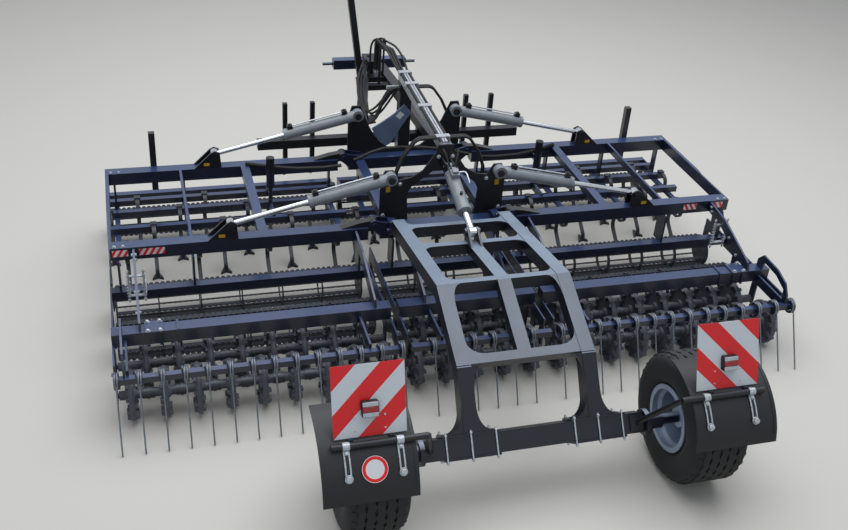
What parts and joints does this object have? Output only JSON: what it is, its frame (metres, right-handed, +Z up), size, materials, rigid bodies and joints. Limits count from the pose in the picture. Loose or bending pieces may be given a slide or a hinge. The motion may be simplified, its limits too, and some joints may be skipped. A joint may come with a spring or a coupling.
{
  "type": "folding field cultivator",
  "caption": "Trailed seedbed cultivator with two folding wings, spring tines, cage and ring rollers, following harrow, rear lift wheels and a hitch cross bar.",
  "frame": {"origin": "on the ground below the middle of the outline", "axes": "+X to the machine's right, +Y forward to the hitch, +Z up"},
  "size_m": [5.086, 5.2884, 1.9743],
  "materials": {
    "navy_paint": "satin",
    "black_paint": "satin",
    "cylinder_paint": "satin",
    "chrome_rod": "polished",
    "galvanised_steel": "matte",
    "spring_steel": "satin",
    "roller_steel": "matte",
    "cast_iron_ring": "matte",
    "rim_steel": "satin",
    "tyre_rubber": "matte",
    "black_plastic": "matte",
    "sign_panel": "satin",
    "hose_rubber": "satin",
    "lamp_lens": "gloss"
  },
  "bodies": {
    "centre_cage_roller_1": {"centre_cage_roller_1": "roller_steel"},
    "centre_cage_roller_2": {"centre_cage_roller_2": "roller_steel"},
    "centre_front_roller": {"centre_front_roller": "roller_steel"},
    "centre_ring_roller_1": {"centre_ring_roller_1": "cast_iron_ring"},
    "centre_ring_roller_2": {"centre_ring_roller_2": "cast_iron_ring"},
    "hitch_bar": {"hitch_bar": "navy_paint"},
    "left_cage_roller_1": {"left_cage_roller_1": "roller_steel"},
    "left_cage_roller_2": {"left_cage_roller_2": "roller_steel"},
    "left_fold_barrels": {"left_fold_barrels": "cylinder_paint"},
    "left_fold_rods": {"left_fold_rods": "chrome_rod"},
    "left_front_roller": {"left_front_roller": "roller_steel"},
    "left_wheel": {"left_rim": "rim_steel", "left_tyre": "tyre_rubber"},
    "left_ring_roller_1": {"left_ring_roller_1": "cast_iron_ring"},
    "left_ring_roller_2": {"left_ring_roller_2": "cast_iron_ring"},
    "lift_barrel": {"lift_barrel": "cylinder_paint"},
    "lift_rod": {"lift_rod": "chrome_rod"},
    "parking_leg": {"parking_leg": "black_paint"},
    "right_cage_roller_1": {"right_cage_roller_1": "roller_steel"},
    "right_cage_roller_2": {"right_cage_roller_2": "roller_steel"},
    "right_fold_barrels": {"right_fold_barrels": "cylinder_paint"},
    "right_fold_rods": {"right_fold_rods": "chrome_rod"},
    "right_front_roller": {"right_front_roller": "roller_steel"},
    "right_wheel": {"right_rim": "rim_steel", "right_tyre": "tyre_rubber"},
    "right_ring_roller_1": {"right_ring_roller_1": "cast_iron_ring"},
    "right_ring_roller_2": {"right_ring_roller_2": "cast_iron_ring"},
    "chassis": {"boom_hoses": "hose_rubber", "centre_frame": "navy_paint", "centre_harrow": "spring_steel", "centre_roller_frame": "navy_paint", "centre_tine_frame": "navy_paint", "centre_tines": "spring_steel", "drawbar": "navy_paint", "front_mast": "black_paint", "mark_looseners": "black_paint", "rear_portal": "black_paint", "top_boom": "galvanised_steel"},
    "left_wing": {"left_harrow": "spring_steel", "left_roller_frame": "navy_paint", "left_tine_frame": "navy_paint", "left_tines": "spring_steel", "left_wing_frame": "navy_paint"},
    "right_wing": {"right_harrow": "spring_steel", "right_roller_frame": "navy_paint", "right_tine_frame": "navy_paint", "right_tines": "spring_steel", "right_wing_frame": "navy_paint"},
    "lift": {"guard_arms": "black_paint", "lift_frame": "navy_paint", "mudguards": "black_plastic", "rear_lamps": "lamp_lens", "round_sign": "sign_panel", "warning_panels": "sign_panel"}
  },
  "joints": [
    {"name": "left_fold", "type": "hinge", "parent": "chassis", "child": "left_wing", "pos_m": [-0.554, 0, 0.8], "axis": [0, 1, 0], "range_deg": [0, 90]},
    {"name": "left_fold_barrels_turn", "type": "hinge", "parent": "chassis", "child": "left_fold_barrels", "pos_m": [-0.432, 0, 1.165], "axis": [0, 1, 0], "range_deg": [0, 100.28]},
    {"name": "left_fold_rods_slide", "type": "slide", "parent": "left_fold_barrels", "child": "left_fold_rods", "axis": [-0.9738, 0, -0.2276], "range_m": [-0.5188, 0]},
    {"name": "right_fold", "type": "hinge", "parent": "chassis", "child": "right_wing", "pos_m": [0.554, 0, 0.8], "axis": [0, -1, 0], "range_deg": [0, 90]},
    {"name": "right_fold_barrels_turn", "type": "hinge", "parent": "chassis", "child": "right_fold_barrels", "pos_m": [0.432, 0, 1.165], "axis": [0, -1, 0], "range_deg": [0, 100.28]},
    {"name": "right_fold_rods_slide", "type": "slide", "parent": "right_fold_barrels", "child": "right_fold_rods", "axis": [0.9738, 0, -0.2276], "range_m": [-0.5188, 0]},
    {"name": "lift", "type": "hinge", "parent": "chassis", "child": "lift", "pos_m": [0, -0.18, 0.8], "axis": [1, 0, 0], "range_deg": [-6, 10]},
    {"name": "lift_barrel_turn", "type": "hinge", "parent": "chassis", "child": "lift_barrel", "pos_m": [0, -0.085, 1.255], "axis": [1, 0, 0], "range_deg": [-4.02, 6.63]},
    {"name": "lift_rod_slide", "type": "slide", "parent": "lift_barrel", "child": "lift_rod", "axis": [0, -0.9544, -0.2985], "range_m": [-0.0424, 0.0703]},
    {"name": "left_wheel_turn", "type": "hinge", "parent": "lift", "child": "left_wheel", "pos_m": [-1.092, -2.205, 0.432], "axis": [1, 0, 0], "continuous": true},
    {"name": "right_wheel_turn", "type": "hinge", "parent": "lift", "child": "right_wheel", "pos_m": [1.092, -2.205, 0.432], "axis": [1, 0, 0], "continuous": true},
    {"name": "centre_cage_roller_1_turn", "type": "hinge", "parent": "chassis", "child": "centre_cage_roller_1", "pos_m": [0, 0.14, 0.15], "axis": [1, 0, 0], "continuous": true},
    {"name": "centre_cage_roller_2_turn", "type": "hinge", "parent": "chassis", "child": "centre_cage_roller_2", "pos_m": [0, -0.345, 0.15], "axis": [1, 0, 0], "continuous": true},
    {"name": "centre_front_roller_turn", "type": "hinge", "parent": "chassis", "child": "centre_front_roller", "pos_m": [0, 1.44, 0.13], "axis": [1, 0, 0], "continuous": true},
    {"name": "centre_ring_roller_1_turn", "type": "hinge", "parent": "chassis", "child": "centre_ring_roller_1", "pos_m": [0, -0.68, 0.175], "axis": [1, 0, 0], "continuous": true},
    {"name": "centre_ring_roller_2_turn", "type": "hinge", "parent": "chassis", "child": "centre_ring_roller_2", "pos_m": [0, -1, 0.175], "axis": [1, 0, 0], "continuous": true},
    {"name": "left_cage_roller_1_turn", "type": "hinge", "parent": "left_wing", "child": "left_cage_roller_1", "pos_m": [-1.55, 0.14, 0.15], "axis": [1, 0, 0], "continuous": true},
    {"name": "left_cage_roller_2_turn", "type": "hinge", "parent": "left_wing", "child": "left_cage_roller_2", "pos_m": [-1.55, -0.345, 0.15], "axis": [1, 0, 0], "continuous": true},
    {"name": "left_front_roller_turn", "type": "hinge", "parent": "left_wing", "child": "left_front_roller", "pos_m": [-1.55, 1.44, 0.13], "axis": [1, 0, 0], "continuous": true},
    {"name": "left_ring_roller_1_turn", "type": "hinge", "parent": "left_wing", "child": "left_ring_roller_1", "pos_m": [-1.55, -0.68, 0.175], "axis": [1, 0, 0], "continuous": true},
    {"name": "left_ring_roller_2_turn", "type": "hinge", "parent": "left_wing", "child": "left_ring_roller_2", "pos_m": [-1.55, -1, 0.175], "axis": [1, 0, 0], "continuous": true},
    {"name": "right_cage_roller_1_turn", "type": "hinge", "parent": "right_wing", "child": "right_cage_roller_1", "pos_m": [1.55, 0.14, 0.15], "axis": [1, 0, 0], "continuous": true},
    {"name": "right_cage_roller_2_turn", "type": "hinge", "parent": "right_wing", "child": "right_cage_roller_2", "pos_m": [1.55, -0.345, 0.15], "axis": [1, 0, 0], "continuous": true},
    {"name": "right_front_roller_turn", "type": "hinge", "parent": "right_wing", "child": "right_front_roller", "pos_m": [1.55, 1.44, 0.13], "axis": [1, 0, 0], "continuous": true},
    {"name": "right_ring_roller_1_turn", "type": "hinge", "parent": "right_wing", "child": "right_ring_roller_1", "pos_m": [1.55, -0.68, 0.175], "axis": [1, 0, 0], "continuous": true},
    {"name": "right_ring_roller_2_turn", "type": "hinge", "parent": "right_wing", "child": "right_ring_roller_2", "pos_m": [1.55, -1, 0.175], "axis": [1, 0, 0], "continuous": true},
    {"name": "hitch_swivel", "type": "hinge", "parent": "chassis", "child": "hitch_bar", "pos_m": [0, 2.572, 1.06], "axis": [0, 0, 1], "range_deg": [-30, 30]},
    {"name": "parking_leg_slide", "type": "slide", "parent": "chassis", "child": "parking_leg", "axis": [-0.1478, 0, 0.989], "range_m": [-0.56, 0]}
  ],
  "couplings": [
    {"joint": "left_fold_barrels_turn", "follows": "left_fold", "ratio": 1.1131},
    {"joint": "left_fold_rods_slide", "follows": "left_fold", "m_per_rad": -0.32998},
    {"joint": "right_fold_barrels_turn", "follows": "right_fold", "ratio": 1.1131},
    {"joint": "right_fold_rods_slide", "follows": "right_fold", "m_per_rad": -0.32998},
    {"joint": "lift_barrel_turn", "follows": "lift", "ratio": 0.6532},
    {"joint": "lift_rod_slide", "follows": "lift", "m_per_rad": 0.4002}
  ]
}
